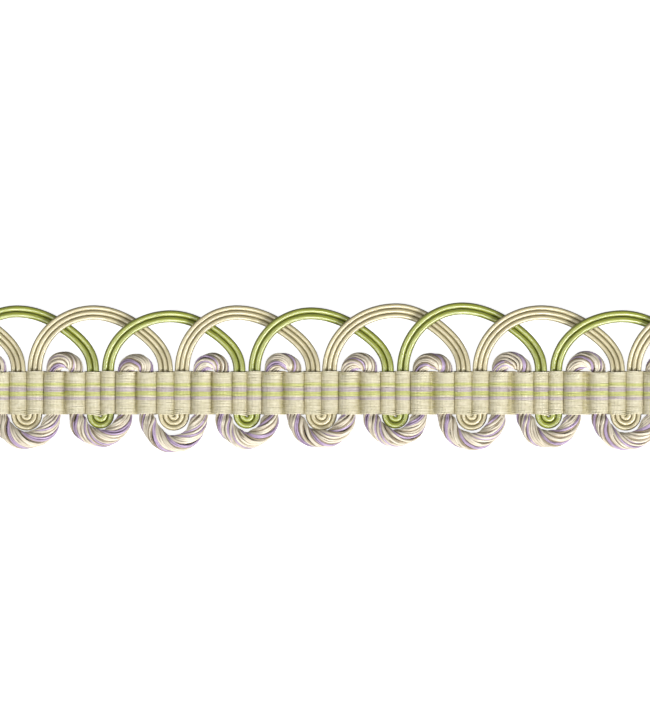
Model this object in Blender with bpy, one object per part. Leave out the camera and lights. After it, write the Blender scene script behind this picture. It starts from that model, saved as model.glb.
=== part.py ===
"""A cut length of scroll gimp braid: woven band, twisted rope and satin gimp strands.

The trim lies flat on its back. X runs along it, Y across it from the rope's scallops up to the
gimp arches, and Z points out of its face. The origin is the middle of the band's flat back.

The band's weave holds every cord. At each scallop the rope comes down through the band, turns
under it and goes up again, and between scallops it turns over in a small tight loop. Two bundles
of gimp, one green and one beige, take turns: a bundle turns in a small U inside one scallop,
rises through the band, arches over the next scallop and comes down at the one after it.
"""
import math
from typing import NamedTuple

import bmesh
import bpy
from mathutils import Vector

MM = 0.001

# Band
PITCH = 19.05 * MM
BAND_LENGTH = 230.0 * MM
BAND_WIDTH = 11.05 * MM
BAND_END_HEIGHT = 1.4 * MM
GAP_BETWEEN_ROPE_RIBS = 1.2 * MM
GROOVE_BETWEEN_GIMP_RIBS = 2.25 * MM
GROOVE_BESIDE_ROPE_RIB = 2.5 * MM
CLOTH_WALL = 0.42 * MM
ROPE_RIB_WALL = 0.27 * MM

# Play between a cord and the band's cloth, and how far a cord runs straight past the band's edge
PLAY = 0.3 * MM
STRAIGHT_PAST_EDGE = 0.15 * MM
CUT_END_INSIDE = 0.6 * MM

# Rope
ROPE_RIDGE_RADIUS = 2.08 * MM
ROPE_VALLEY_RADIUS = 1.68 * MM
ROPE_HEIGHT = 2.15 * MM
ROPE_HEIGHT_IN_BAND = 2.0 * MM
ROPE_HALF_WIDTH_IN_BAND = 1.85 * MM
ROPE_HALF_DEPTH_IN_BAND = 1.35 * MM
ROPE_PLIES = 3
ROPE_SIDES = 9
LEG_STEPS = 3
SCALLOP_STEPS = 9
LOOP_STEPS = 6
FIRST_LOOP = 2.7 * MM

# Gimp
GIMP_HEIGHT = 1.7 * MM
CROSSING_LIFT = 0.82 * MM
ARCH_SLACK = 0.067
ARCH_STEPS = 14
U_STEPS = 6
TUBE_BEVEL_RESOLUTION = 1


class Gimp(NamedTuple):
    """One bundle of gimp strands, and how far the rope keeps from a scallop's middle around it."""

    strands: int
    strand_radius: float
    strand_spacing: float
    leg: float
    rope_arm: float


GREEN = Gimp(2, 0.61 * MM, 1.54 * MM, 1.92 * MM, 6.25 * MM)
BEIGE = Gimp(3, 0.46 * MM, 1.24 * MM, 2.10 * MM, 6.85 * MM)


class Repeat(NamedTuple):
    """One scallop, the rope loop on its right and the gimp arch over it, in millimetres.

    Lengths are those of centre lines: scallop below the band, loop and arch above it. shift moves
    the scallop along the trim, and lean moves the top of the arch along it.
    """

    shift: float
    scallop: float
    loop: float
    arch: float
    lean: float


REPEATS = (
    Repeat(shift=-0.05, scallop=6.50, loop=2.70, arch=14.70, lean=-1.50),
    Repeat(shift=-0.15, scallop=6.65, loop=3.05, arch=15.00, lean=-2.30),
    Repeat(shift=-0.40, scallop=6.15, loop=2.20, arch=14.70, lean=-1.70),
    Repeat(shift=-0.80, scallop=7.65, loop=2.55, arch=13.75, lean=-0.75),
    Repeat(shift=-1.25, scallop=6.65, loop=2.65, arch=14.70, lean=-2.55),
    Repeat(shift=-1.40, scallop=6.50, loop=2.65, arch=14.50, lean=-2.60),
    Repeat(shift=-1.60, scallop=6.15, loop=2.55, arch=15.20, lean=0.20),
    Repeat(shift=-1.25, scallop=7.00, loop=2.85, arch=15.75, lean=-2.40),
    Repeat(shift=-0.75, scallop=6.50, loop=2.90, arch=14.70, lean=-1.85),
    Repeat(shift=-0.15, scallop=7.00, loop=2.70, arch=13.75, lean=-0.85),
    Repeat(shift=-0.05, scallop=6.60, loop=2.70, arch=14.60, lean=-1.50),
)


class Lift(NamedTuple):
    """How far an arch stands above or below its feet, at an angle round it from its left foot."""

    angle: float
    share: float


# Each arch passes over the arch before it on its left side and under the next one on its right.
LIFTS = (
    Lift(angle=0.0, share=0.0),
    Lift(angle=36.0, share=1.0),
    Lift(angle=80.0, share=1.0),
    Lift(angle=110.0, share=-1.0),
    Lift(angle=150.0, share=-1.0),
    Lift(angle=180.0, share=0.0),
)

COUNT = len(REPEATS)
MIDDLE = COUNT // 2
BAND_HALF = BAND_WIDTH / 2
EDGE = BAND_HALF + STRAIGHT_PAST_EDGE
CUT_END = BAND_HALF - CUT_END_INSIDE


def gimp_at(index):
    """The bundle whose U lies in a scallop: green and beige take turns."""
    return GREEN if index % 2 == 0 else BEIGE


def scallop_x(index):
    """The middle of a scallop. The ones just past either end are cut off and stay regular."""
    shift = REPEATS[index].shift * MM if 0 <= index < COUNT else 0.0
    return (index - MIDDLE) * PITCH + shift


def rope_arm_x(index, side):
    """Where the rope passes the band beside a scallop: side is -1 on its left, 1 on its right."""
    return scallop_x(index) + side * gimp_at(index).rope_arm


def scallop_turn(index):
    """The rope's half ellipse under a scallop."""
    middle = scallop_x(index)
    arm = gimp_at(index).rope_arm
    depth = REPEATS[index].scallop * MM
    angles = [math.pi * step / SCALLOP_STEPS for step in range(SCALLOP_STEPS + 1)]
    return [Vector((middle - arm * math.cos(a), -EDGE - depth * math.sin(a))) for a in angles]


def loop_turn(index):
    """The rope's small loop over the band to the next scallop, as round as its height allows."""
    height = REPEATS[index].loop * MM if index >= 0 else FIRST_LOOP
    left = rope_arm_x(index, 1)
    right = rope_arm_x(index + 1, -1)
    middle = (left + right) / 2
    half = (right - left) / 2
    radius = min(half, height)
    points = [Vector((left, EDGE))]
    for step in range(1, LOOP_STEPS):
        angle = math.pi * step / LOOP_STEPS
        across = -math.cos(angle)
        corner = math.copysign(half - radius, across) if 2 * step != LOOP_STEPS else 0.0
        x = middle + corner + radius * across
        points.append(Vector((x, EDGE + height - radius + radius * math.sin(angle))))
    return points + [Vector((right, EDGE))]


def leg(start, end):
    """The points strictly between the ends of a straight run through the band."""
    return [start.lerp(end, step / LEG_STEPS) for step in range(1, LEG_STEPS)]


def rope_route():
    """The rope's centre line, and for each point whether the band's weave squeezes it there."""
    points = [Vector((rope_arm_x(-1, 1), -CUT_END))]
    squeezed = [True]
    for index in range(-1, COUNT):
        turns = [loop_turn(index)]
        if index >= 0:
            turns.insert(0, scallop_turn(index))
        for turn in turns:
            between = leg(points[-1], turn[0])
            points += between + turn
            squeezed += [True] * (len(between) + 1) + [False] * (len(turn) - 2) + [True]
    end = Vector((rope_arm_x(COUNT, -1), -CUT_END))
    between = leg(points[-1], end)
    return points + between + [end], squeezed + [True] * (len(between) + 1)


def rope_ring(bm, centre, along, ring, squeezed):
    """One cross-section of the rope. Its ridges move round by one corner a ring, as a twist."""
    left = Vector((-along.y, along.x))
    height = ROPE_HEIGHT_IN_BAND if squeezed else ROPE_HEIGHT
    wide = ROPE_HALF_WIDTH_IN_BAND / ROPE_RIDGE_RADIUS if squeezed else 1.0
    deep = ROPE_HALF_DEPTH_IN_BAND / ROPE_RIDGE_RADIUS if squeezed else 1.0
    corners_per_ply = ROPE_SIDES // ROPE_PLIES
    verts = []
    for corner in range(ROPE_SIDES):
        on_ridge = (corner - ring) % corners_per_ply == 0
        radius = ROPE_RIDGE_RADIUS if on_ridge else ROPE_VALLEY_RADIUS
        angle = 2 * math.pi * corner / ROPE_SIDES
        flat = centre + left * (radius * wide * math.cos(angle))
        verts.append(bm.verts.new((flat.x, flat.y, height + radius * deep * math.sin(angle))))
    return verts


def rope_mesh():
    """The rope's loft: its section turns, and is flatter where the band squeezes it."""
    points, squeezed = rope_route()
    bm = bmesh.new()
    rings = []
    for ring, centre in enumerate(points):
        before = points[max(ring - 1, 0)]
        after = points[min(ring + 1, len(points) - 1)]
        along = (after - before).normalized()
        if squeezed[ring]:
            along = Vector((0.0, math.copysign(1.0, along.y)))
        rings.append(rope_ring(bm, centre, along, ring, squeezed[ring]))
    for ring, after in zip(rings, rings[1:]):
        for corner in range(ROPE_SIDES):
            following = (corner + 1) % ROPE_SIDES
            bm.faces.new((ring[corner], ring[following], after[following]))
            bm.faces.new((ring[corner], after[following], after[corner]))
    bm.faces.new(rings[0])
    bm.faces.new(list(reversed(rings[-1])))
    bmesh.ops.recalc_face_normals(bm, faces=bm.faces)
    mesh = bpy.data.meshes.new("rope")
    bm.to_mesh(mesh)
    bm.free()
    mesh.shade_smooth()
    mesh.set_sharp_from_angle(angle=math.radians(35))
    return mesh


def lift_at(angle):
    """The arch's height above its feet at an angle, eased from one row of LIFTS to the next."""
    degrees = math.degrees(angle)
    for row, after in zip(LIFTS, LIFTS[1:]):
        if degrees <= after.angle:
            share = (degrees - row.angle) / (after.angle - row.angle)
            eased = (1 - math.cos(math.pi * share)) / 2
            return CROSSING_LIFT * (row.share + (after.share - row.share) * eased)
    return 0.0


def arch_points(index, lane):
    """A strand's arch over a scallop. lane is how far it runs to the right of its bundle."""
    gimp = gimp_at(index - 1)
    left_foot = scallop_x(index - 1) + gimp.leg
    right_foot = scallop_x(index + 1) - gimp.leg
    top = scallop_x(index) + REPEATS[index].lean * MM
    height = REPEATS[index].arch * MM
    points = []
    for step in range(ARCH_STEPS + 1):
        angle = math.pi * step / ARCH_STEPS
        on_left = 2 * step < ARCH_STEPS
        span = top - left_foot if on_left else right_foot - top
        slack = 0.0 if on_left else ARCH_SLACK
        x = top - span * math.cos(angle)
        y = EDGE + height * (math.sin(angle) - slack * math.sin(2 * angle) ** 2)
        slope_x = span * math.sin(angle)
        slope_y = height * (math.cos(angle) - 2 * slack * math.sin(4 * angle))
        to_right = Vector((slope_y, -slope_x)).normalized()
        points.append((x + to_right.x * lane, y + to_right.y * lane, GIMP_HEIGHT + lift_at(angle)))
    return points


def gimp_u(index, lane):
    """A strand's small U inside a scallop."""
    middle = scallop_x(index)
    radius = gimp_at(index).leg + lane
    angles = [math.pi * step / U_STEPS for step in range(U_STEPS + 1)]
    return [(middle - radius * math.cos(a), -EDGE - radius * math.sin(a), GIMP_HEIGHT) for a in angles]


def strand_route(gimp, lane):
    """A strand from cut end to cut end, both inside the band."""
    if gimp is BEIGE:
        points = [(scallop_x(-1) + gimp.leg + lane, -CUT_END, GIMP_HEIGHT)]
        points += arch_points(0, lane)
        for index in range(1, COUNT, 2):
            points += gimp_u(index, lane) + arch_points(index + 1, lane)
        return points + [(scallop_x(COUNT) - gimp.leg - lane, -CUT_END, GIMP_HEIGHT)]
    points = [(scallop_x(0) - gimp.leg - lane, CUT_END, GIMP_HEIGHT)] + gimp_u(0, lane)
    for index in range(1, COUNT, 2):
        points += arch_points(index, lane) + gimp_u(index + 1, lane)
    return points + [(scallop_x(COUNT - 1) + gimp.leg + lane, CUT_END, GIMP_HEIGHT)]


def tube(name, points, radius, material, collection):
    """A round strand with filled ends."""
    curve = bpy.data.curves.new(name, "CURVE")
    curve.dimensions = "3D"
    curve.bevel_depth = radius
    curve.bevel_resolution = TUBE_BEVEL_RESOLUTION
    curve.use_fill_caps = True
    spline = curve.splines.new("POLY")
    spline.points.add(len(points) - 1)
    for place, point in zip(spline.points, points):
        place.co = (*point, 1.0)
    curve.materials.append(material)
    strand = bpy.data.objects.new(name, curve)
    collection.objects.link(strand)
    return strand


class Passage(NamedTuple):
    """A straight passage across the band, where its cloth goes over and under a cord."""

    x: float
    height: float
    half_width: float
    half_depth: float
    corner: float
    rope: bool


def rope_passage(x):
    half_width = ROPE_HALF_WIDTH_IN_BAND + PLAY
    half_depth = ROPE_HALF_DEPTH_IN_BAND + PLAY
    return Passage(x, ROPE_HEIGHT_IN_BAND, half_width, half_depth, 0.7 * MM, True)


def gimp_passage(gimp, x):
    half_width = (gimp.strands - 1) * gimp.strand_spacing / 2 + gimp.strand_radius + PLAY
    return Passage(x, GIMP_HEIGHT, half_width, gimp.strand_radius + PLAY, 0.4 * MM, False)


def passages():
    """Every passage, from left to right."""
    found = []
    for index in range(-1, COUNT + 1):
        gimp = gimp_at(index)
        for side in (-1, 1):
            past_the_end = (index == -1 and side == -1) or (index == COUNT and side == 1)
            if not past_the_end:
                found.append(gimp_passage(gimp, scallop_x(index) + side * gimp.leg))
                found.append(rope_passage(rope_arm_x(index, side)))
    return sorted(found)


def rib_top(passage):
    """The band's face over a cord, from the rib's left shoulder to its right one."""
    top = passage.height + passage.half_depth + CLOTH_WALL
    if passage.rope:
        half = passage.half_width + ROPE_RIB_WALL
        shape = ((1.0, top - 1.0 * MM), (0.83, top - 0.3 * MM), (0.5, top))
    else:
        half = passage.half_width
        shape = ((1.0, top - 0.35 * MM), (0.7, top))
    left = [(passage.x - half * share, z) for share, z in shape]
    right = [(passage.x + half * share, z) for share, z in reversed(shape)]
    return left + right


def groove(before, after):
    """The band's face between two ribs."""
    if before.rope and after.rope:
        left = before.x + before.half_width + ROPE_RIB_WALL
        right = after.x - after.half_width - ROPE_RIB_WALL
        return [(left, GAP_BETWEEN_ROPE_RIBS), (right, GAP_BETWEEN_ROPE_RIBS)]
    if before.rope:
        return [(before.x + before.half_width + ROPE_RIB_WALL, GROOVE_BESIDE_ROPE_RIB)]
    if after.rope:
        return [(after.x - after.half_width - ROPE_RIB_WALL, GROOVE_BESIDE_ROPE_RIB)]
    return [((before.x + after.x) / 2, GROOVE_BETWEEN_GIMP_RIBS)]


def band_face(found):
    """The band's ribbed face, seen from its lower edge: points of X and height."""
    points = [(-BAND_LENGTH / 2, BAND_END_HEIGHT)]
    for number, passage in enumerate(found):
        if number > 0:
            points += groove(found[number - 1], passage)
        points += rib_top(passage)
    return points + [(BAND_LENGTH / 2, BAND_END_HEIGHT)]


def passage_outline(passage):
    """A passage's section: a rectangle with cut corners."""
    wide, deep, cut = passage.half_width, passage.half_depth, passage.corner
    quarter = [(wide, deep - cut), (wide - cut, deep)]
    right = [(x, -z) for x, z in reversed(quarter)] + quarter
    left = [(-x, -z) for x, z in right]
    return [(passage.x + x, passage.height + z) for x, z in right + left]


def band_curve():
    """The band's flat outline, looking along it from the lower edge, with its passages open."""
    found = passages()
    base = [(BAND_LENGTH / 2, 0.0), (-BAND_LENGTH / 2, 0.0)]
    curve = bpy.data.curves.new("band", "CURVE")
    curve.dimensions = "2D"
    curve.fill_mode = "BOTH"
    curve.extrude = BAND_HALF
    for outline in [band_face(found) + base] + [passage_outline(passage) for passage in found]:
        spline = curve.splines.new("POLY")
        spline.points.add(len(outline) - 1)
        for place, (x, z) in zip(spline.points, outline):
            place.co = (x, z, 0.0, 1.0)
        spline.use_cyclic_u = True
    return curve


def material(name, colour, roughness):
    made = bpy.data.materials.new(name)
    made.use_nodes = True
    shader = made.node_tree.nodes["Principled BSDF"]
    shader.inputs["Base Color"].default_value = (*colour, 1.0)
    shader.inputs["Roughness"].default_value = roughness
    shader.inputs["Metallic"].default_value = 0.0
    return made


def build_band(collection):
    curve = band_curve()
    curve.materials.append(material("striped_cloth", (0.72, 0.69, 0.50), 0.8))
    band = bpy.data.objects.new("band", curve)
    band.rotation_euler = (math.pi / 2, 0.0, 0.0)
    collection.objects.link(band)


def build_rope(collection):
    mesh = rope_mesh()
    mesh.materials.append(material("rope_yarn", (0.68, 0.60, 0.55), 0.75))
    collection.objects.link(bpy.data.objects.new("rope", mesh))


def build_gimp(collection, colour_name, gimp, colour):
    satin = material(f"{colour_name}_satin", colour, 0.3)
    for number in range(gimp.strands):
        lane = (number - (gimp.strands - 1) / 2) * gimp.strand_spacing
        name = f"gimp_{colour_name}_{number + 1}"
        tube(name, strand_route(gimp, lane), gimp.strand_radius, satin, collection)


def main():
    for old in list(bpy.data.objects):
        bpy.data.objects.remove(old, do_unlink=True)
    collection = bpy.data.collections.new("scroll_gimp_braid")
    bpy.context.scene.collection.children.link(collection)
    build_band(collection)
    build_rope(collection)
    build_gimp(collection, "green", GREEN, (0.38, 0.46, 0.12))
    build_gimp(collection, "beige", BEIGE, (0.62, 0.55, 0.34))


main()
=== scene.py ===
"""The looks of a cut length of scroll gimp braid, lying face up on a pale table.

Lengths are in metres. X runs along the trim, Y across it up to the arches, Z out of its face.
Every warp yarn of the band, every yarn of the rope and every gimp strand is a tube of its own.
"""
import math
from typing import NamedTuple

import bpy
import numpy as np
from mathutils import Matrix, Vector


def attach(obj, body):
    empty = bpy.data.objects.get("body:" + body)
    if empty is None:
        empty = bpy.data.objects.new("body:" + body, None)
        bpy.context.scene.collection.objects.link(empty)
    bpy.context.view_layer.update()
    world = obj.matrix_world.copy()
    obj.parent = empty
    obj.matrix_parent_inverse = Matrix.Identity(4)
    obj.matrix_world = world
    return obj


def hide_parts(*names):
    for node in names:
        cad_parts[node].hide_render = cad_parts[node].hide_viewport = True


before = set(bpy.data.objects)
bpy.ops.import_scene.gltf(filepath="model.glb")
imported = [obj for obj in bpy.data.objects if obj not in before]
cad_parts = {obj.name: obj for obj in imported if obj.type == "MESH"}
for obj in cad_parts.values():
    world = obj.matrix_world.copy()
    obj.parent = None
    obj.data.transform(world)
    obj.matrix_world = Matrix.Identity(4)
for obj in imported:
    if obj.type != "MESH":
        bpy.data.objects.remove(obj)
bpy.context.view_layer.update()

MM = 0.001
BODY = "root"

# The part's driving sizes
PITCH = 19.05 * MM
BAND_LENGTH = 230.0 * MM
BAND_WIDTH = 11.05 * MM
BAND_HALF = BAND_WIDTH / 2
EDGE = BAND_HALF + 0.15 * MM
GIMP_HEIGHT = 1.7 * MM
CROSSING_LIFT = 0.82 * MM
ARCH_SLACK = 0.067
FIRST_LOOP = 2.7 * MM
# The cords are cut almost flush with the band's edge
CUT_END = BAND_HALF - 0.1 * MM

# Rope: a ring of yarns, standing out in a ridge for each ply
ROPE_HEIGHT = 2.15 * MM
ROPE_HEIGHT_IN_BAND = 2.0 * MM
ROPE_SQUEEZED_DEPTH = 0.64
ROPE_SWELL = 1.9 * MM
ROPE_LAY = 20.6 * MM
ROPE_PLIES = 3
RING_RADIUS = 1.56 * MM
RIDGE_HEIGHT = 0.13 * MM
YARN_RADIUS = 0.3 * MM
YARN_WANDER = 0.17
YARN_RISE = 0.13 * MM
WANDER_LENGTH = 5.0 * MM
ROPE_STEP = 0.5 * MM
ROPE_YARN_SIDES = 6
ROPE_SEED = 3
# The rope's yarns by colour, ply by ply, and how thick each colour's yarns are
ROPE_COLOUR_ORDER = (
    ("cream", "taupe", "lilac", "lilac", "taupe", "cream", "taupe", "cream", "cream"),
    ("taupe", "cream", "lilac", "taupe", "cream", "lilac", "cream", "taupe", "cream"),
    ("cream", "taupe", "lilac", "lilac", "taupe", "cream", "cream", "taupe", "cream"),
)
ROPE_YARN_SIZES = {"cream": 1.15, "lilac": 1.0, "taupe": 0.8}
# How much the rope spreads in its turns and moves to their inner side
LOOP_SPREAD = 0.12
LOOP_SHIFT = 0.2 * MM
SCALLOP_SPREAD = 0.19
SCALLOP_SHIFT = 0.3 * MM

# Band: warp yarns from the upper edge to the lower one, by colour
WARP_STRIPES = (
    ("cream", 15),
    ("lime", 4),
    ("cream", 2),
    ("lilac", 5),
    ("lime", 6),
    ("cream", 1),
    ("lilac", 4),
    ("cream", 19),
)
WARP_HALF_WIDTH = 0.21 * MM
WARP_HALF_DEPTH = 0.12 * MM
WARP_SIDES = 8
WARP_MIDDLE = 1.75 * MM
WARP_BACK = 0.16 * MM
ROPE_RIB_TOP = 3.75 * MM
GIMP_RIB_TOP = 3.05 * MM
ROPE_RIB_HALF = 2.42 * MM
END_RIB_HALF = 2.3 * MM
GROUND_SINK = 0.1 * MM
GROUND_THICKNESS = 0.1 * MM
GROUND_MARGIN = 0.25 * MM
GROUND_GRAIN = 0.6 * MM

# How far across a rib the warp is sampled, from its middle to its side
RIB_SHARES = (0.0, 0.3, 0.58, 0.8, 0.93, 0.99)
# The rib's cross section: how flat its top is, and how its sides fall
RIB_ROUNDNESS = 2.1
RIB_FALL = 0.68

# The band's upper edge
EDGE_DIP = 0.5 * MM
EDGE_LEAN = 0.8 * MM
EDGE_DIP_DEPTH = 2.6 * MM
EDGE_SAG = 0.4 * MM
EDGE_SAG_WIDTH = 1.5 * MM
EDGE_SAG_DEPTH = 1.6 * MM

# How far a warp yarn strays from its line, and at how many places along the band
WARP_WANDER = 0.045 * MM
WARP_KNOTS = 160
WARP_SEED = 7

# Photograph's frame
IMAGE_WIDTH = 650
IMAGE_HEIGHT = 722
PIXEL = 0.2547 * MM
CAMERA_X = -0.45 * MM
CAMERA_Y = 8.07 * MM
CAMERA_HEIGHT = 1.2
SENSOR = 36.0


class Gimp(NamedTuple):
    """One bundle of gimp strands, and how far the rope keeps from a scallop's middle around it."""

    colour: str
    strands: int
    radius: float
    spacing: float
    leg: float
    rope_arm: float


GREEN = Gimp("green", 2, 0.775 * MM, 1.54 * MM, 1.92 * MM, 6.25 * MM)
BEIGE = Gimp("beige", 3, 0.625 * MM, 1.24 * MM, 2.10 * MM, 6.85 * MM)


class Repeat(NamedTuple):
    """One scallop, the rope loop on its right and the gimp arch over it, in millimetres."""

    shift: float
    scallop: float
    loop: float
    arch: float
    lean: float


REPEATS = (
    Repeat(shift=-0.05, scallop=6.50, loop=2.70, arch=14.70, lean=-1.50),
    Repeat(shift=-0.15, scallop=6.65, loop=3.05, arch=15.00, lean=-2.30),
    Repeat(shift=-0.40, scallop=6.15, loop=2.20, arch=14.70, lean=-1.70),
    Repeat(shift=-0.80, scallop=7.65, loop=2.55, arch=13.75, lean=-0.75),
    Repeat(shift=-1.25, scallop=6.65, loop=2.65, arch=14.70, lean=-2.55),
    Repeat(shift=-1.40, scallop=6.50, loop=2.65, arch=14.50, lean=-2.60),
    Repeat(shift=-1.60, scallop=6.15, loop=2.55, arch=15.20, lean=0.20),
    Repeat(shift=-1.25, scallop=7.00, loop=2.85, arch=15.75, lean=-2.40),
    Repeat(shift=-0.75, scallop=6.50, loop=2.90, arch=14.70, lean=-1.85),
    Repeat(shift=-0.15, scallop=7.00, loop=2.70, arch=13.75, lean=-0.85),
    Repeat(shift=-0.05, scallop=6.60, loop=2.70, arch=14.60, lean=-1.50),
)
COUNT = len(REPEATS)
MIDDLE = COUNT // 2

# Points along each turn of a cord
ARCH_POINTS = 73
U_POINTS = 25
SCALLOP_POINTS = 65
LOOP_POINTS = 33

GIMP_SIDES = 16
# Between one tube's lengths and the next one's, in the map that the materials read
TUBE_OFFSET = 0.7

# An arch's height over its feet, as a share of CROSSING_LIFT, at angles from its left foot
LIFT_ANGLES = (0.0, 36.0, 80.0, 110.0, 150.0, 180.0)
LIFT_SHARES = (0.0, 1.0, 1.0, -1.0, -1.0, 0.0)


def eased(share):
    """A smooth step from 0 to 1."""
    share = np.clip(share, 0.0, 1.0)
    return share * share * (3 - 2 * share)


def wandering(rng, length, knots):
    """A smooth random line between -1 and 1."""
    values = rng.uniform(-1.0, 1.0, knots)
    at = np.linspace(0.0, knots - 1.001, length)
    before = at.astype(int)
    share = eased(at - before)
    return values[before] * (1 - share) + values[before + 1] * share


# Routes


def gimp_at(index):
    return GREEN if index % 2 == 0 else BEIGE


def scallop_x(index):
    shift = REPEATS[index].shift * MM if 0 <= index < COUNT else 0.0
    return (index - MIDDLE) * PITCH + shift


def rope_arm_x(index, side):
    return scallop_x(index) + side * gimp_at(index).rope_arm


def lifts(degrees):
    """The arch's height over its feet, eased between the rows of the two tables above."""
    found = np.zeros(len(degrees))
    rows = list(zip(LIFT_ANGLES, LIFT_SHARES))
    for (start, low), (end, high) in zip(rows, rows[1:]):
        inside = (degrees >= start) & (degrees <= end)
        share = (1 - np.cos(np.pi * (degrees - start) / (end - start))) / 2
        found[inside] = (low + (high - low) * share)[inside]
    return found * CROSSING_LIFT


def arch(index, lane):
    """A strand's arch over a scallop. lane is how far it runs to the right of its bundle."""
    gimp = gimp_at(index - 1)
    left_foot = scallop_x(index - 1) + gimp.leg
    right_foot = scallop_x(index + 1) - gimp.leg
    top = scallop_x(index) + REPEATS[index].lean * MM
    height = REPEATS[index].arch * MM
    angle = np.linspace(0.0, np.pi, ARCH_POINTS)
    on_left = angle < np.pi / 2
    span = np.where(on_left, top - left_foot, right_foot - top)
    slack = np.where(on_left, 0.0, ARCH_SLACK)
    x = top - span * np.cos(angle)
    y = EDGE + height * (np.sin(angle) - slack * np.sin(2 * angle) ** 2)
    slope_x = span * np.sin(angle)
    slope_y = height * (np.cos(angle) - 2 * slack * np.sin(4 * angle))
    length = np.hypot(slope_x, slope_y)
    x = x + lane * slope_y / length
    y = y - lane * slope_x / length
    return np.stack([x, y, GIMP_HEIGHT + lifts(np.degrees(angle))], 1)


def gimp_u(index, lane):
    """A strand's small U inside a scallop."""
    radius = gimp_at(index).leg + lane
    angle = np.linspace(0.0, np.pi, U_POINTS)
    x = scallop_x(index) - radius * np.cos(angle)
    y = -EDGE - radius * np.sin(angle)
    return np.stack([x, y, np.full(len(angle), GIMP_HEIGHT)], 1)


def strand_route(gimp, lane):
    """A strand from cut end to cut end, both inside the band."""
    if gimp is BEIGE:
        parts = [[(scallop_x(-1) + gimp.leg + lane, -CUT_END, GIMP_HEIGHT)], arch(0, lane)]
        for index in range(1, COUNT, 2):
            parts += [gimp_u(index, lane), arch(index + 1, lane)]
        parts.append([(scallop_x(COUNT) - gimp.leg - lane, -CUT_END, GIMP_HEIGHT)])
    else:
        parts = [[(scallop_x(0) - gimp.leg - lane, CUT_END, GIMP_HEIGHT)], gimp_u(0, lane)]
        for index in range(1, COUNT, 2):
            parts += [arch(index, lane), gimp_u(index + 1, lane)]
        parts.append([(scallop_x(COUNT - 1) + gimp.leg + lane, CUT_END, GIMP_HEIGHT)])
    return np.concatenate(parts)


def scallop_turn(index):
    angle = np.linspace(0.0, np.pi, SCALLOP_POINTS)
    x = scallop_x(index) - gimp_at(index).rope_arm * np.cos(angle)
    y = -EDGE - REPEATS[index].scallop * MM * np.sin(angle)
    return np.stack([x, y], 1)


def loop_turn(index):
    height = REPEATS[index].loop * MM if index >= 0 else FIRST_LOOP
    left = rope_arm_x(index, 1)
    right = rope_arm_x(index + 1, -1)
    half = (right - left) / 2
    radius = min(half, height)
    angle = np.linspace(0.0, np.pi, LOOP_POINTS)
    across = -np.cos(angle)
    x = (left + right) / 2 + radius * across + (half - radius) * np.sign(np.round(across, 6))
    y = EDGE + height - radius + radius * np.sin(angle)
    inner = np.stack([x, y], 1)
    return np.concatenate([[(left, EDGE)], inner, [(right, EDGE)]])


def rope_centre():
    """The rope's middle at even steps: places in the plane, and the length run so far."""
    parts = [[(rope_arm_x(-1, 1), -CUT_END)], loop_turn(-1)]
    for index in range(COUNT):
        parts += [scallop_turn(index), loop_turn(index)]
    parts.append([(rope_arm_x(COUNT, -1), -CUT_END)])
    points = np.concatenate(parts)
    gaps = np.hypot(*np.diff(points, axis=0).T)
    points = points[np.append(True, gaps > 1e-7)]
    run = np.append(0.0, np.cumsum(np.hypot(*np.diff(points, axis=0).T)))
    at = np.linspace(0.0, run[-1], int(run[-1] / ROPE_STEP) + 1)
    return np.stack([np.interp(at, run, points[:, k]) for k in (0, 1)], 1), at


def rope_yarn(centre, run, share, size, rng):
    """One yarn of this relative size, starting this share of the way round the rope."""
    along = np.gradient(centre, axis=0)
    along /= np.hypot(along[:, 0], along[:, 1])[:, None]
    left = np.stack([-along[:, 1], along[:, 0]], 1)
    outside = eased((np.abs(centre[:, 1]) - BAND_HALF) / ROPE_SWELL)
    depth = ROPE_SQUEEZED_DEPTH + (1 - ROPE_SQUEEZED_DEPTH) * outside
    in_loop = centre[:, 1] > 0
    width = 1 + outside * np.where(in_loop, LOOP_SPREAD, SCALLOP_SPREAD)
    shift = outside * np.where(in_loop, -LOOP_SHIFT, SCALLOP_SHIFT)
    knots = int(run[-1] / WANDER_LENGTH)
    place = 2 * np.pi * share
    angle = 2 * np.pi * run / ROPE_LAY + place + YARN_WANDER * wandering(rng, len(run), knots)
    radius = RING_RADIUS + RIDGE_HEIGHT * np.cos(ROPE_PLIES * place)
    radius = radius + YARN_RISE * wandering(rng, len(run), knots)
    across = left * (radius * np.cos(angle) * width)[:, None]
    flat = centre + left * shift[:, None] + across
    height = ROPE_HEIGHT_IN_BAND + (ROPE_HEIGHT - ROPE_HEIGHT_IN_BAND) * outside
    up = radius * np.sin(angle) * depth
    route = np.stack([flat[:, 0], flat[:, 1], height + up], 1)
    outward = np.stack([across[:, 0], across[:, 1], up], 1)
    half = size * YARN_RADIUS * np.sqrt(width * depth)
    return Tube(route, half, half, outward)


# Tubes


class Tube(NamedTuple):
    """A tube's route, its half width and half depth, and which way its crest faces."""

    route: np.ndarray
    half_width: object
    half_depth: object
    outward: object = (0.0, 0.0, 1.0)


def unit(vectors):
    return vectors / np.linalg.norm(vectors, axis=1)[:, None]


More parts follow.
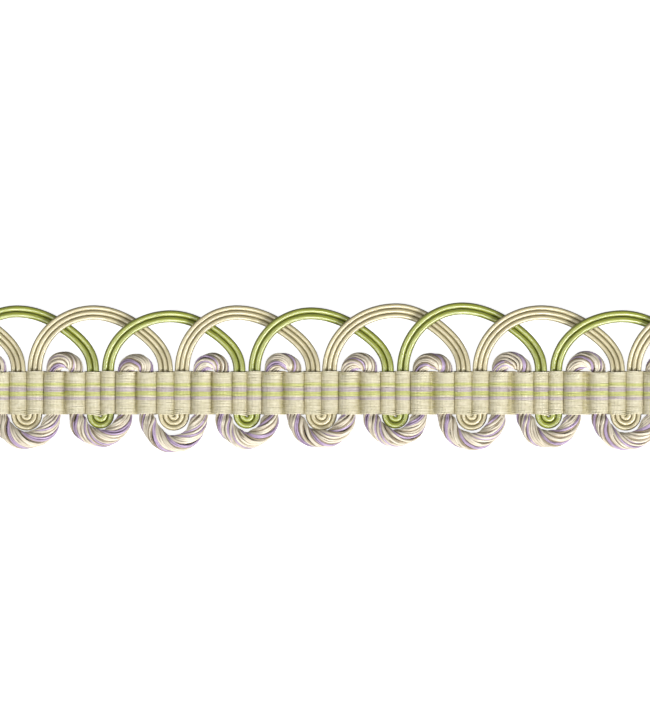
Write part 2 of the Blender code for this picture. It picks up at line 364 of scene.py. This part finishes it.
def tube_parts(tube, sides):
    """A tube's corners, its faces' corner numbers, and each face corner's place along and round it."""
    route = tube.route
    count = len(route)
    along = unit(np.gradient(route, axis=0))
    side = unit(np.cross(tube.outward, along))
    up = np.cross(along, side)
    wide = np.broadcast_to(tube.half_width, count)[:, None, None]
    deep = np.broadcast_to(tube.half_depth, count)[:, None, None]
    angle = 2 * np.pi * np.arange(sides) / sides
    rings = route[:, None] + side[:, None] * np.cos(angle)[None, :, None] * wide
    rings = rings + up[:, None] * np.sin(angle)[None, :, None] * deep
    run = np.append(0.0, np.cumsum(np.linalg.norm(np.diff(route, axis=0), axis=1)))
    ring, corner = np.meshgrid(np.arange(count - 1), np.arange(sides), indexing="ij")
    following = (corner + 1) % sides
    quads = np.stack(
        [
            ring * sides + corner,
            ring * sides + following,
            (ring + 1) * sides + following,
            (ring + 1) * sides + corner,
        ],
        -1,
    ).reshape(-1, 4)[:, ::-1]
    run_at = np.stack([run[ring], run[ring], run[ring + 1], run[ring + 1]], -1)
    round_at = np.stack([corner, corner + 1, corner + 1, corner], -1) / sides
    places = np.stack([run_at, round_at], -1).reshape(-1, 4, 2)[:, ::-1]
    return rings.reshape(-1, 3), quads, places


def tube_object(name, tubes, sides, material):
    """One object of several tubes with closed ends, and a map of lengths along and shares round.

    Each tube's lengths start at a number of its own, so that no two are uneven alike.
    """
    corners, loops, starts, places = [], [], [], []
    total_corners = 0
    total_loops = 0
    for number, tube in enumerate(tubes):
        rings, quads, where = tube_parts(tube, sides)
        where = where + (number * TUBE_OFFSET, 0.0)
        ends = [np.arange(sides), np.arange(len(rings) - sides, len(rings))[::-1]]
        corners.append(rings)
        loops += [quads.ravel() + total_corners] + [end + total_corners for end in ends]
        starts.append(total_loops + 4 * np.arange(len(quads)))
        total_loops += quads.size
        starts.append(total_loops + sides * np.arange(2))
        total_loops += 2 * sides
        places += [where.reshape(-1, 2), np.zeros((2 * sides, 2))]
        total_corners += len(rings)
    mesh = bpy.data.meshes.new(name)
    mesh.vertices.add(total_corners)
    mesh.vertices.foreach_set("co", np.concatenate(corners).ravel())
    mesh.loops.add(total_loops)
    mesh.loops.foreach_set("vertex_index", np.concatenate(loops).astype(np.int32))
    starts = np.concatenate(starts)
    mesh.polygons.add(len(starts))
    mesh.polygons.foreach_set("loop_start", starts.astype(np.int32))
    mesh.update(calc_edges=True)
    layer = mesh.uv_layers.new(name="strand")
    layer.uv.foreach_set("vector", np.concatenate(places).astype(np.float32).ravel())
    mesh.validate()
    mesh.shade_smooth()
    mesh.set_sharp_from_angle(angle=math.radians(60))
    mesh.materials.append(material)
    made = bpy.data.objects.new(name, mesh)
    bpy.context.scene.collection.objects.link(made)
    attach(made, BODY)
    return made


# Materials


def nodes_of(name):
    material = bpy.data.materials.new(name)
    material.use_nodes = True
    tree = material.node_tree
    return material, tree, tree.nodes["Principled BSDF"]


def maths(tree, operation, *values):
    node = tree.nodes.new("ShaderNodeMath")
    node.operation = operation
    for socket, value in zip(node.inputs, values):
        if isinstance(value, float):
            socket.default_value = value
        else:
            tree.links.new(value, socket)
    return node.outputs[0]


def strand_place(tree):
    """The place along a strand in metres, and the share of the way round it."""
    read = tree.nodes.new("ShaderNodeUVMap")
    read.uv_map = "strand"
    split = tree.nodes.new("ShaderNodeSeparateXYZ")
    tree.links.new(read.outputs["UV"], split.inputs[0])
    return split.outputs["X"], split.outputs["Y"]


def noise(tree, size):
    """Even noise in space, with features of about this size."""
    place = tree.nodes.new("ShaderNodeTexCoord")
    node = tree.nodes.new("ShaderNodeTexNoise")
    node.inputs["Scale"].default_value = 1 / size
    node.inputs["Detail"].default_value = 2.0
    tree.links.new(place.outputs["Object"], node.inputs["Vector"])
    return node.outputs["Fac"]


def twist_lines(tree, spacing, lines_round):
    """A wave that winds round a strand: crests this far apart, this many of them round it."""
    along, around = strand_place(tree)
    phase = maths(tree, "MULTIPLY", along, math.tau / spacing)
    turn = maths(tree, "MULTIPLY", around, math.tau * lines_round)
    return maths(tree, "SINE", maths(tree, "ADD", phase, turn))


def bumped(tree, shader, height, distance):
    bump = tree.nodes.new("ShaderNodeBump")
    bump.inputs["Distance"].default_value = distance
    bump.inputs["Strength"].default_value = 1.0
    tree.links.new(height, bump.inputs["Height"])
    tree.links.new(bump.outputs["Normal"], shader.inputs["Normal"])


def coloured(tree, shader, dark, light, factor):
    """A base colour between two, by a factor of 0 to 1."""
    ramp = tree.nodes.new("ShaderNodeValToRGB")
    ramp.color_ramp.elements[0].color = (*dark, 1.0)
    ramp.color_ramp.elements[1].color = (*light, 1.0)
    tree.links.new(factor, ramp.inputs["Fac"])
    tree.links.new(ramp.outputs["Color"], shader.inputs["Base Color"])


def ranged(tree, value, low, high):
    """0 where the value is at or below one limit, 1 at or above the other."""
    node = tree.nodes.new("ShaderNodeMapRange")
    node.inputs["From Min"].default_value = low
    node.inputs["From Max"].default_value = high
    tree.links.new(value, node.inputs["Value"])
    return node.outputs["Result"]


def painted_side_shade(tree, low, high):
    """Painted shade: 0 down a strand's sides, where it meets its neighbours and shade falls, and 1
    along its lit crest.
    """
    _, around = strand_place(tree)
    return ranged(tree, maths(tree, "SINE", maths(tree, "MULTIPLY", around, math.tau)), low, high)


def height_share(tree, low, high):
    """0 at one height over the table and below, 1 at another and above."""
    place = tree.nodes.new("ShaderNodeTexCoord")
    split = tree.nodes.new("ShaderNodeSeparateXYZ")
    tree.links.new(place.outputs["Object"], split.inputs[0])
    return ranged(tree, split.outputs["Z"], low, high)


def streaks(tree, length, fineness):
    """Noise drawn out along a strand, without a seam round it, spread over 0 to 1."""
    along, around = strand_place(tree)
    turn = maths(tree, "MULTIPLY", around, math.tau)
    place = tree.nodes.new("ShaderNodeCombineXYZ")
    tree.links.new(maths(tree, "DIVIDE", along, length), place.inputs[0])
    tree.links.new(maths(tree, "MULTIPLY", maths(tree, "COSINE", turn), fineness), place.inputs[1])
    tree.links.new(maths(tree, "MULTIPLY", maths(tree, "SINE", turn), fineness), place.inputs[2])
    node = tree.nodes.new("ShaderNodeTexNoise")
    node.inputs["Scale"].default_value = 1.0
    node.inputs["Detail"].default_value = 2.0
    tree.links.new(place.outputs[0], node.inputs["Vector"])
    return ranged(tree, node.outputs["Fac"], 0.3, 0.7)


# Satin: its streaks along the strand, how much of its colour is painted shade down its sides and
# painted highlight along its crest, and its wrapping
SATIN_STREAK = 5.0 * MM
SATIN_FINENESS = 2.4
SATIN_PAINTED_SHADE = 0.7
WRAP_SPACING = 0.16 * MM
WRAP_HEIGHT = 0.006 * MM


class YarnLook(NamedTuple):
    """A kind of yarn: its twist, the length of its streaks, and what makes it darker or lighter.

    The four shares say how much of the colour's range each cause takes: streaks and blotches are the
    yarn's own uneven tone, while the side and groove shares are painted shade.
    low and high are the heights over the table between which the painted groove shade tells.
    """

    twist: float
    bump: float
    streak: float
    streak_share: float
    blotch_share: float
    painted_side_shade_share: float
    painted_groove_shade_share: float
    low: float
    high: float


ROPE_LOOK = YarnLook(
    twist=2.4 * MM,
    bump=0.015 * MM,
    streak=3.2 * MM,
    streak_share=0.5,
    blotch_share=0.12,
    painted_side_shade_share=0.38,
    painted_groove_shade_share=0.0,
    low=1.0 * MM,
    high=3.6 * MM,
)
WARP_LOOK = YarnLook(
    twist=0.8 * MM,
    bump=0.02 * MM,
    streak=6.0 * MM,
    streak_share=0.3,
    blotch_share=0.2,
    painted_side_shade_share=0.1,
    painted_groove_shade_share=0.4,
    low=1.7 * MM,
    high=3.0 * MM,
)
STREAK_FINENESS = 0.7
BLOTCH_SIZE = 1.1 * MM


def satin(name, dark, light):
    """Fine glossy thread wrapped round and round a strand: it shines in lines along the strand, and
    its colour holds painted shade down its sides.
    """
    material, tree, shader = nodes_of(name)
    uneven = maths(tree, "MULTIPLY", streaks(tree, SATIN_STREAK, SATIN_FINENESS), 1 - SATIN_PAINTED_SHADE)
    # Painted shade and highlight: darker down the strand's sides, lighter along its crest
    factor = maths(tree, "MULTIPLY_ADD", painted_side_shade(tree, 0.3, 0.95), SATIN_PAINTED_SHADE, uneven)
    coloured(tree, shader, dark, light, factor)
    tangent = tree.nodes.new("ShaderNodeTangent")
    tangent.direction_type = "UV_MAP"
    tangent.uv_map = "strand"
    tree.links.new(tangent.outputs["Tangent"], shader.inputs["Tangent"])
    shader.inputs["Roughness"].default_value = 0.34
    shader.inputs["Anisotropic"].default_value = 0.9
    shader.inputs["IOR"].default_value = 1.8
    shader.inputs["Specular IOR Level"].default_value = 1.0
    shader.inputs["Coat Weight"].default_value = 0.25
    shader.inputs["Coat Roughness"].default_value = 0.28
    bumped(tree, shader, twist_lines(tree, WRAP_SPACING, 1), WRAP_HEIGHT)
    return material


def yarn(name, dark, light, look):
    """A twisted yarn, deeper in colour in streaks and blotches, with painted shade down its sides and
    low in the weave.
    """
    material, tree, shader = nodes_of(name)
    lines = twist_lines(tree, look.twist, 2)
    blotch = ranged(tree, noise(tree, BLOTCH_SIZE), 0.3, 0.7)
    # Painted shade: darker low in the weave, where the grooves between the ribs lie in shade
    depth = height_share(tree, look.low, look.high)
    factor = maths(tree, "MULTIPLY", streaks(tree, look.streak, STREAK_FINENESS), look.streak_share)
    factor = maths(tree, "MULTIPLY_ADD", blotch, look.blotch_share, factor)
    # Painted shade down each yarn's sides, where it meets its neighbours; lighter along its crest
    factor = maths(tree, "MULTIPLY_ADD", painted_side_shade(tree, 0.3, 0.9), look.painted_side_shade_share, factor)
    factor = maths(tree, "MULTIPLY_ADD", depth, look.painted_groove_shade_share, factor)
    coloured(tree, shader, dark, light, factor)
    shader.inputs["Roughness"].default_value = 0.6
    shader.inputs["Specular IOR Level"].default_value = 0.4
    shader.inputs["Sheen Weight"].default_value = 0.25
    shader.inputs["Sheen Roughness"].default_value = 0.4
    bumped(tree, shader, lines, look.bump)
    return material


# Pieces


def build_gimp(gimp, dark, light):
    material = satin(f"{gimp.colour}_satin", dark, light)
    for number in range(gimp.strands):
        lane = (number - (gimp.strands - 1) / 2) * gimp.spacing
        tube = Tube(strand_route(gimp, lane), gimp.radius, gimp.radius)
        place = f"{gimp.colour}_{number + 1}"
        strand = tube_object(f"satin_{place}", [tube], GIMP_SIDES, material)
        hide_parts(f"gimp_{place}")


def build_rope(colours):
    centre, run = rope_centre()
    rng = np.random.default_rng(ROPE_SEED)
    order = [colour for ply in ROPE_COLOUR_ORDER for colour in ply]
    sizes = np.array([ROPE_YARN_SIZES[colour] for colour in order])
    shares = (np.cumsum(sizes) - sizes / 2) / sizes.sum() - 1 / (2 * ROPE_PLIES)
    yarns = [rope_yarn(centre, run, share, size, rng) for share, size in zip(shares, sizes)]
    for colour, (dark, light) in colours.items():
        tubes = [tube for tube, wanted in zip(yarns, order) if wanted == colour]
        material = yarn(f"rope_{colour}", dark, light, ROPE_LOOK)
        piece = tube_object(f"rope_{colour}_yarns", tubes, ROPE_YARN_SIDES, material)
        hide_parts("rope")


class Rib(NamedTuple):
    """The band over one cord: where it starts and ends, its top, and how its upper edge gives."""

    start: float
    end: float
    top: float
    dip: float
    lean: float


def ribs():
    """Every rib of the band from left to right, meeting or with a gap between rope ribs."""
    cords = []
    for index in range(-1, COUNT + 1):
        for side in (-1, 1):
            past_the_end = (index == -1 and side == -1) or (index == COUNT and side == 1)
            if not past_the_end:
                cords.append((scallop_x(index) + side * gimp_at(index).leg, "gimp", side))
                cords.append((rope_arm_x(index, side), "rope", side))
    cords.sort()
    made = []
    for number, (x, kind, side) in enumerate(cords):
        before = cords[number - 1] if number > 0 else None
        after = cords[number + 1] if number + 1 < len(cords) else None
        start = x - ROPE_RIB_HALF
        end = x + ROPE_RIB_HALF
        if kind == "gimp":
            start = side_of_gimp_rib(x, before, -1)
            end = side_of_gimp_rib(x, after, 1)
        top = ROPE_RIB_TOP if kind == "rope" else GIMP_RIB_TOP
        dip = EDGE_DIP if kind == "rope" and side == -1 else 0.0
        lean = EDGE_LEAN if kind == "rope" and side == 1 else 0.0
        made.append(Rib(start, end, top, dip, lean))
    return made


def side_of_gimp_rib(x, neighbour, side):
    """Where a gimp rib ends: half way to another gimp rib, or at a rope rib's side."""
    if neighbour is None:
        return x + side * END_RIB_HALF
    if neighbour[1] == "rope":
        return neighbour[0] - side * ROPE_RIB_HALF
    return (x + neighbour[0]) / 2


def warp_profile():
    """Places along the band, with the cloth's front and back, its edge's dip and lean, and the rib."""
    half_length = BAND_LENGTH / 2
    x, front, back = [-half_length], [WARP_MIDDLE], [WARP_MIDDLE]
    dip, lean, rib_of = [0.0], [0.0], [0]
    shares = [-share for share in reversed(RIB_SHARES)] + list(RIB_SHARES[1:])
    for number, rib in enumerate(ribs()):
        middle = (rib.start + rib.end) / 2
        half = (rib.end - rib.start) / 2
        for share in shares:
            rise = (1 - abs(share) ** RIB_ROUNDNESS) ** RIB_FALL
            x.append(middle + half * share)
            front.append(WARP_MIDDLE + (rib.top - WARP_MIDDLE) * rise)
            back.append(WARP_MIDDLE - (WARP_MIDDLE - WARP_BACK) * rise)
            dip.append(rib.dip * (1 - share * share))
            lean.append(rib.lean * (1 - share * share))
            rib_of.append(number)
    x.append(half_length)
    front.append(WARP_MIDDLE)
    back.append(WARP_MIDDLE)
    dip.append(0.0)
    lean.append(0.0)
    rib_of.append(rib_of[-1] + 1)
    return [np.array(values) for values in (x, front, back, dip, lean, rib_of)]


def build_band(colours):
    x, front, back, dip, lean, rib_of = warp_profile()
    rng = np.random.default_rng(WARP_SEED)
    sag = sum(np.exp(-(((x - scallop_x(index)) / EDGE_SAG_WIDTH) ** 2)) for index in range(COUNT))
    total = sum(count for _, count in WARP_STRIPES)
    spacing = (BAND_WIDTH - 2 * WARP_HALF_WIDTH) / (total - 1)
    groups = {}
    number = 0
    for colour, count in WARP_STRIPES:
        for _ in range(count):
            y = BAND_HALF - WARP_HALF_WIDTH - number * spacing
            near_edge = eased((y - BAND_HALF + EDGE_DIP_DEPTH) / EDGE_DIP_DEPTH)
            near_bottom = eased((EDGE_SAG_DEPTH - y - BAND_HALF) / EDGE_SAG_DEPTH)
            across = y - dip * near_edge - EDGE_SAG * sag * near_bottom
            across = across + WARP_WANDER * wandering(rng, len(x), WARP_KNOTS)
            over = (rib_of + number) % 2 == 0
            height = np.where(over, front, back)
            route = np.stack([x + lean * near_edge, across, height], 1)
            half = "upper" if 2 * number < total else "lower"
            key = (colour, half)
            groups.setdefault(key, []).append(Tube(route, WARP_HALF_WIDTH, WARP_HALF_DEPTH))
            number += 1
    pieces = []
    for (colour, half), tubes in groups.items():
        material = yarn(f"warp_{colour}_{half}", *colours[colour], WARP_LOOK)
        piece = tube_object(f"warp_{colour}_{half}", tubes, WARP_SIDES, material)
        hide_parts("band")
        pieces.append(piece)
    return pieces


def build_ground(colours, pieces):
    """The cloth's body just under its front yarns: a thin sheet in the ribs' shape."""
    x, front = warp_profile()[:2]
    top = front - GROUND_SINK
    half = BAND_HALF - GROUND_MARGIN
    outline = np.concatenate([np.stack([x, top], 1), np.stack([x, top - GROUND_THICKNESS], 1)[::-1]])
    count = len(outline)
    corners = [(px, side * half, pz) for side in (-1, 1) for px, pz in outline]
    faces = []
    for number in range(count):
        following = (number + 1) % count
        faces.append((number, following, count + following, count + number))
    strip = len(x)
    for side in (0, 1):
        for number in range(strip - 1):
            upper = (side * count + number, side * count + number + 1)
            lower = (side * count + count - 2 - number, side * count + count - 1 - number)
            face = (*upper, *lower)
            faces.append(face if side else face[::-1])
    mesh = bpy.data.meshes.new("band_ground")
    mesh.from_pydata(corners, [], [face[::-1] for face in faces])
    mesh.validate()
    mesh.shade_smooth()
    mesh.set_sharp_from_angle(angle=math.radians(50))
    ground = bpy.data.objects.new("band_ground", mesh)
    bpy.context.scene.collection.objects.link(ground)
    material, tree, shader = nodes_of("ground_cloth")
    coloured(tree, shader, *colours["ground"], noise(tree, GROUND_GRAIN))
    shader.inputs["Roughness"].default_value = 0.8
    mesh.materials.append(material)
    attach(ground, BODY)
    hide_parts("band")


# Setting


FLOOR_HALF = 6.0
WORLD_STRENGTH = 0.12


class Lamp(NamedTuple):
    """A square light that faces the middle of the trim."""

    name: str
    place: tuple
    size: float
    power: float


LAMPS = (
    Lamp("key", place=(0.72, -0.68, 0.76), size=0.35, power=16.0),
    Lamp("overhead", place=(-0.1, -0.3, 1.4), size=0.3, power=3.5),
    Lamp("edge", place=(0.15, -1.2, 0.16), size=0.3, power=8.0),
    Lamp("side", place=(-0.80, -0.20, 0.80), size=0.35, power=5.0),
    Lamp("back", place=(-0.3, 0.9, 1.0), size=0.6, power=0.2),
)


def build_floor():
    half = FLOOR_HALF
    mesh = bpy.data.meshes.new("table_top")
    corners = [(-half, -half, 0), (half, -half, 0), (half, half, 0), (-half, half, 0)]
    mesh.from_pydata(corners, [], [(0, 1, 2, 3)])
    floor = bpy.data.objects.new("table_top", mesh)
    bpy.context.scene.collection.objects.link(floor)
    material, _, shader = nodes_of("pale_table")
    shader.inputs["Base Color"].default_value = (0.5, 0.5, 0.5, 1.0)
    shader.inputs["Roughness"].default_value = 0.9
    shader.inputs["Specular IOR Level"].default_value = 0.0
    shader.inputs["Emission Color"].default_value = (1.0, 1.0, 1.0, 1.0)
    shader.inputs["Emission Strength"].default_value = 0.9
    mesh.materials.append(material)
    floor.visible_diffuse = False
    floor.visible_glossy = False


def build_light(lamp):
    light = bpy.data.lights.new(lamp.name, "AREA")
    light.shape = "SQUARE"
    light.size = lamp.size
    light.energy = lamp.power
    holder = bpy.data.objects.new(lamp.name, light)
    holder.location = lamp.place
    holder.rotation_euler = (-Vector(lamp.place)).to_track_quat("-Z", "Y").to_euler()
    bpy.context.scene.collection.objects.link(holder)


def build_world():
    world = bpy.data.worlds.new("studio")
    world.use_nodes = True
    background = world.node_tree.nodes["Background"]
    background.inputs["Color"].default_value = (1.0, 1.0, 1.0, 1.0)
    background.inputs["Strength"].default_value = WORLD_STRENGTH
    bpy.context.scene.world = world


def build_camera():
    data = bpy.data.cameras.new("camera")
    data.sensor_width = SENSOR
    data.lens = SENSOR * CAMERA_HEIGHT / (max(IMAGE_WIDTH, IMAGE_HEIGHT) * PIXEL)
    data.clip_end = 20.0
    camera = bpy.data.objects.new("camera", data)
    camera.location = (CAMERA_X, CAMERA_Y, CAMERA_HEIGHT)
    bpy.context.scene.collection.objects.link(camera)
    bpy.context.scene.camera = camera
    bpy.context.scene.view_settings.view_transform = "Standard"


# Each cord's colours: deepest first, then lightest. The deep end is reached in the yarns' own streaks
# and blotches and in the painted shade down strands' sides and low in the weave.
GREEN_SATIN = ((0.045, 0.05, 0.004), (0.44, 0.49, 0.06))
BEIGE_SATIN = ((0.14, 0.105, 0.03), (0.74, 0.65, 0.37))
WARP_COLOURS = {
    "cream": ((0.32, 0.265, 0.07), (0.80, 0.75, 0.585)),
    "lime": ((0.28, 0.27, 0.015), (0.67, 0.69, 0.30)),
    "lilac": ((0.24, 0.18, 0.145), (0.64, 0.56, 0.57)),
    "ground": ((0.40, 0.36, 0.20), (0.52, 0.48, 0.30)),
}
ROPE_COLOURS = {
    "cream": ((0.26, 0.20, 0.12), (0.90, 0.83, 0.68)),
    "lilac": ((0.07, 0.035, 0.08), (0.62, 0.48, 0.69)),
    "taupe": ((0.06, 0.04, 0.022), (0.42, 0.335, 0.215)),
}

build_camera()
build_world()
build_floor()
for lamp in LAMPS:
    build_light(lamp)
build_gimp(GREEN, *GREEN_SATIN)
build_gimp(BEIGE, *BEIGE_SATIN)
build_rope(ROPE_COLOURS)
build_ground(WARP_COLOURS, build_band(WARP_COLOURS))
